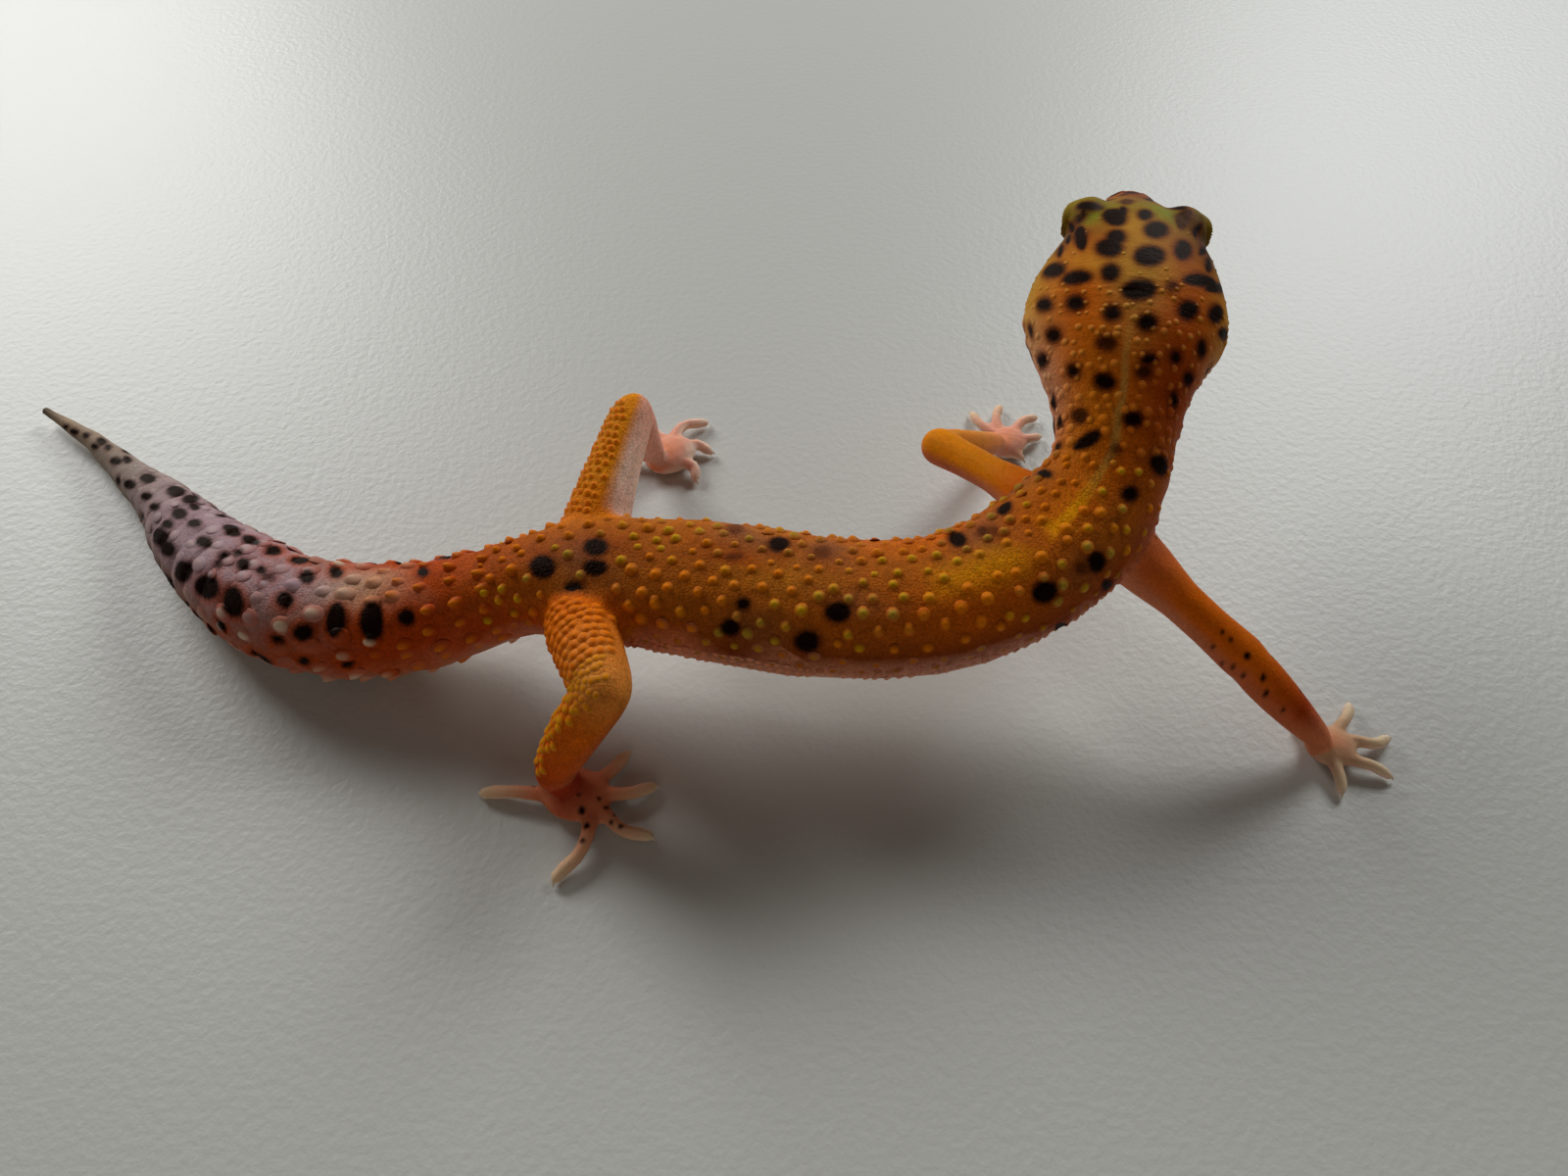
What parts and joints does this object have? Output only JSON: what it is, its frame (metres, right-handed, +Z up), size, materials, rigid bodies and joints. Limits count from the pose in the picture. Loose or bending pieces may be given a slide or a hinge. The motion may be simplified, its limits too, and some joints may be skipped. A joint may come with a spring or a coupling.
{
  "type": "leopard gecko",
  "caption": "Life-size still model of an orange spotted lizard in mid stride, head raised and turned, thick tapering tail laid on the ground.",
  "frame": {"origin": "middle of the animal's footprint box, on the ground plane", "axes": "+Z up from the ground; +X from the tail towards the chest, along the trunk; +Y to the animal's left, the way its raised head faces"},
  "size_m": [0.1636, 0.0766, 0.036],
  "materials": {
    "back": "fine granular orange-brown skin with low glossy scales and dark brown spots",
    "head": "fine granular yellow-orange skin with dark brown spots, olive above the eyes",
    "throat": "soft pale pink skin of small smooth scales",
    "tail": "ringed pale lilac-grey skin with orange patches, dark spots and white pointed scales",
    "limb": "granular orange skin with small yellow scales",
    "foot": "smooth thin flesh-coloured skin",
    "eye": "wet glossy eyeball, bronze iris with an upright slit pupil"
  },
  "bodies": {
    "root": {"tail_tip": "tail", "tail_middle": "tail", "tail_root": "tail", "hips": "back", "trunk": "back", "chest": "back", "neck": "back", "head": "head", "lower_jaw": "throat", "eye_right": "eye", "eye_left": "eye", "thigh_hind_right": "limb", "shank_hind_right": "limb", "foot_hind_right": "foot", "thigh_hind_left": "limb", "shank_hind_left": "limb", "foot_hind_left": "foot", "upper_arm_front_right": "limb", "forearm_front_right": "limb", "hand_front_right": "foot", "upper_arm_front_left": "limb", "forearm_front_left": "limb", "hand_front_left": "foot"}
  },
  "joints": []
}
